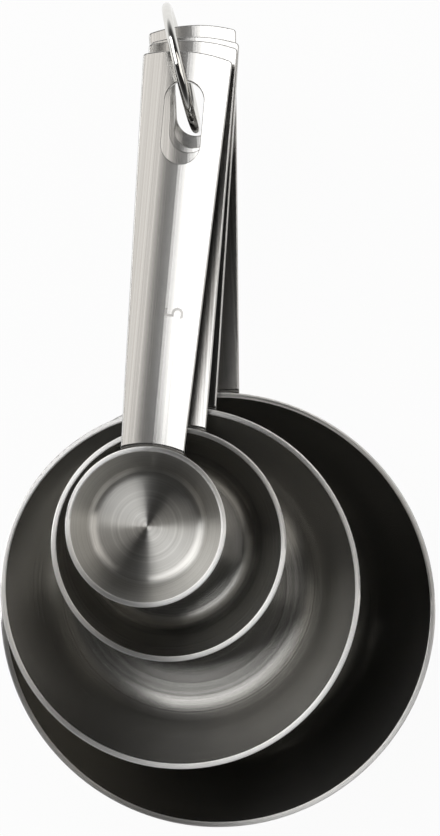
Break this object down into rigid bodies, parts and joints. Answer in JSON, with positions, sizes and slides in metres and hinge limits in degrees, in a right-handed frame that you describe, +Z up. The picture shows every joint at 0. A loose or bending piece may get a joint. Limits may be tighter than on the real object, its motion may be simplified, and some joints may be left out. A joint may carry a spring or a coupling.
{
  "type": "measuring spoon set",
  "caption": "Nested measuring spoons strung on a wire ring: flat-floored spun steel cups with long dished, slotted strip handles, each cup lifting out of the next.",
  "frame": {"origin": "centre of the underside of the 100 ml cup's flat floor, on the surface that the set stands on", "axes": "+Y along the handles from the cups to the ring, +Z up out of the cups, +X to the right with the ring away from the viewer"},
  "size_m": [0.0814, 0.1542, 0.0402],
  "materials": {
    "cup_steel": "spun satin, fine turning marks round the cup's axis",
    "handle_steel": "brushed along the handle",
    "ring_wire": "bright plated wire"
  },
  "bodies": {
    "spoon_100ml": {"bowl_100ml": "cup_steel", "handle_100ml": "handle_steel"},
    "spoon_50ml": {"bowl_50ml": "cup_steel", "handle_50ml": "handle_steel"},
    "spoon_15ml": {"bowl_15ml": "cup_steel", "handle_15ml": "handle_steel"},
    "spoon_5ml": {"bowl_5ml": "cup_steel", "handle_5ml": "handle_steel"},
    "ring": {"ring": "ring_wire"}
  },
  "joints": [
    {"name": "lift_50ml", "type": "hinge", "parent": "spoon_100ml", "child": "spoon_50ml", "pos_m": [-0.00683, 0.10133, 0.02547], "axis": [-0.9718, -0.2279, -0.061], "range_deg": [0, 15]},
    {"name": "lift_15ml", "type": "hinge", "parent": "spoon_50ml", "child": "spoon_15ml", "pos_m": [-0.00683, 0.10133, 0.02547], "axis": [-0.9718, -0.2279, -0.061], "range_deg": [0, 24]},
    {"name": "lift_5ml", "type": "hinge", "parent": "spoon_15ml", "child": "spoon_5ml", "pos_m": [-0.00683, 0.10133, 0.02547], "axis": [-0.9986, -0.0523, 0], "range_deg": [0, 24]},
    {"name": "ring_turn", "type": "hinge", "parent": "spoon_100ml", "child": "ring", "pos_m": [-0.00683, 0.10133, 0.02547], "axis": [-0.9718, -0.2279, -0.061], "continuous": true}
  ]
}
